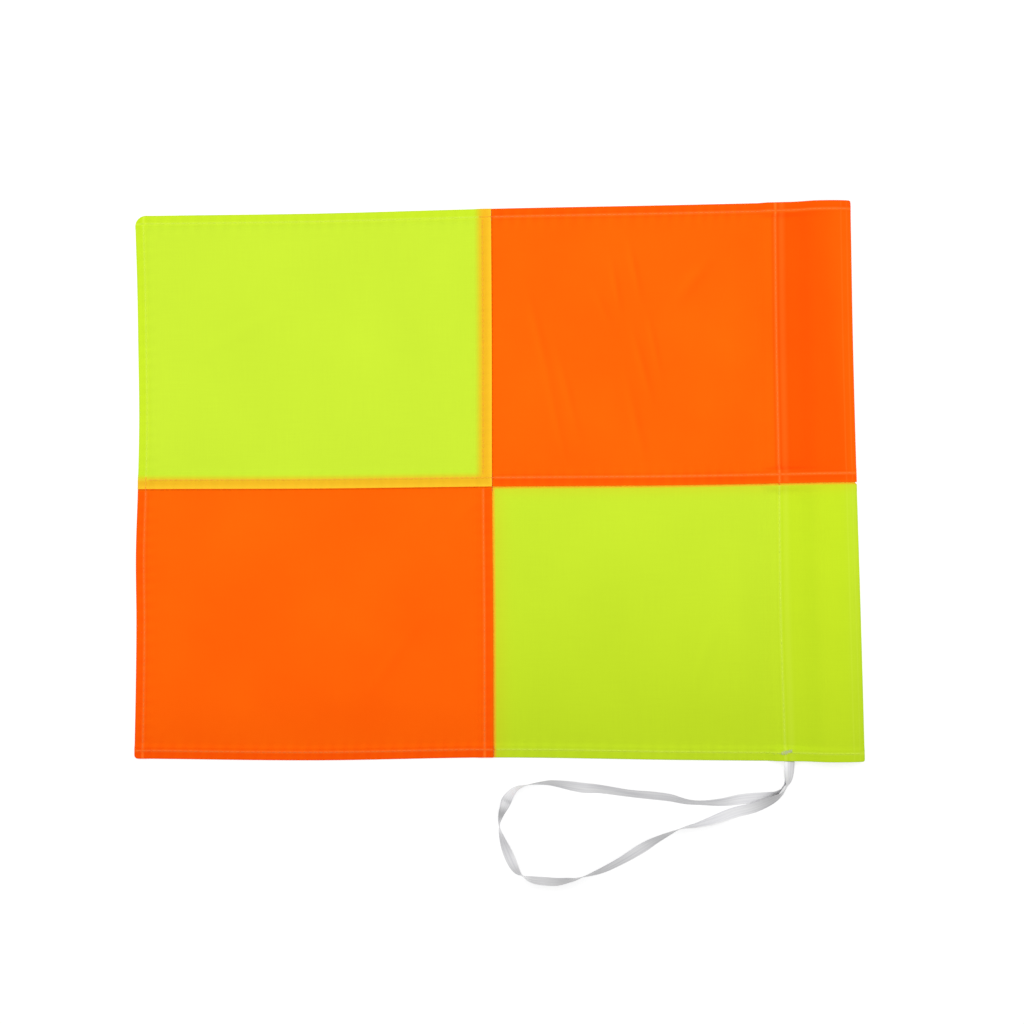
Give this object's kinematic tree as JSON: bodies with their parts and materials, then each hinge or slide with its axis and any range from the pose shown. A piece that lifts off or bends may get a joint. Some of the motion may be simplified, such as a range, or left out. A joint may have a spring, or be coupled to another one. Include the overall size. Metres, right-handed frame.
{
  "type": "corner flag",
  "caption": "Quartered fluorescent corner flag of hemmed, seamed cloth with a pole sleeve along one side and a doubled ribbon tie, laid flat.",
  "frame": {"origin": "middle of the sewn flag's outline, on the surface that it lies on", "axes": "+X from the fly edge to the pole sleeve, +Y up the flag towards its top hem, +Z out of the flag's face"},
  "size_m": [0.4256, 0.3979, 0.0089],
  "materials": {
    "yellow_green_cloth": "matte woven polyester, fluorescent yellow-green",
    "orange_cloth": "matte woven polyester, fluorescent orange",
    "pale_thread": "fine spun polyester thread, pale",
    "tack_thread": "dense satin-stitched thread, pale grey",
    "white_satin": "white satin ribbon with lengthwise sheen"
  },
  "bodies": {
    "root": {"fly_upper_panel": "yellow_green_cloth", "hoist_upper_panel": "orange_cloth", "fly_lower_panel": "orange_cloth", "hoist_lower_panel": "yellow_green_cloth", "top_hem_stitching": "pale_thread", "bottom_hem_stitching": "pale_thread", "fly_hem_stitching": "pale_thread", "upper_vertical_topstitching": "pale_thread", "lower_vertical_topstitching": "pale_thread", "horizontal_topstitching": "pale_thread", "sleeve_stitching": "pale_thread", "upper_vertical_seam_thread": "pale_thread", "lower_vertical_seam_thread": "pale_thread", "horizontal_seam_thread": "pale_thread", "tie_bar_tack": "tack_thread", "tie_ribbon": "white_satin"}
  },
  "joints": []
}
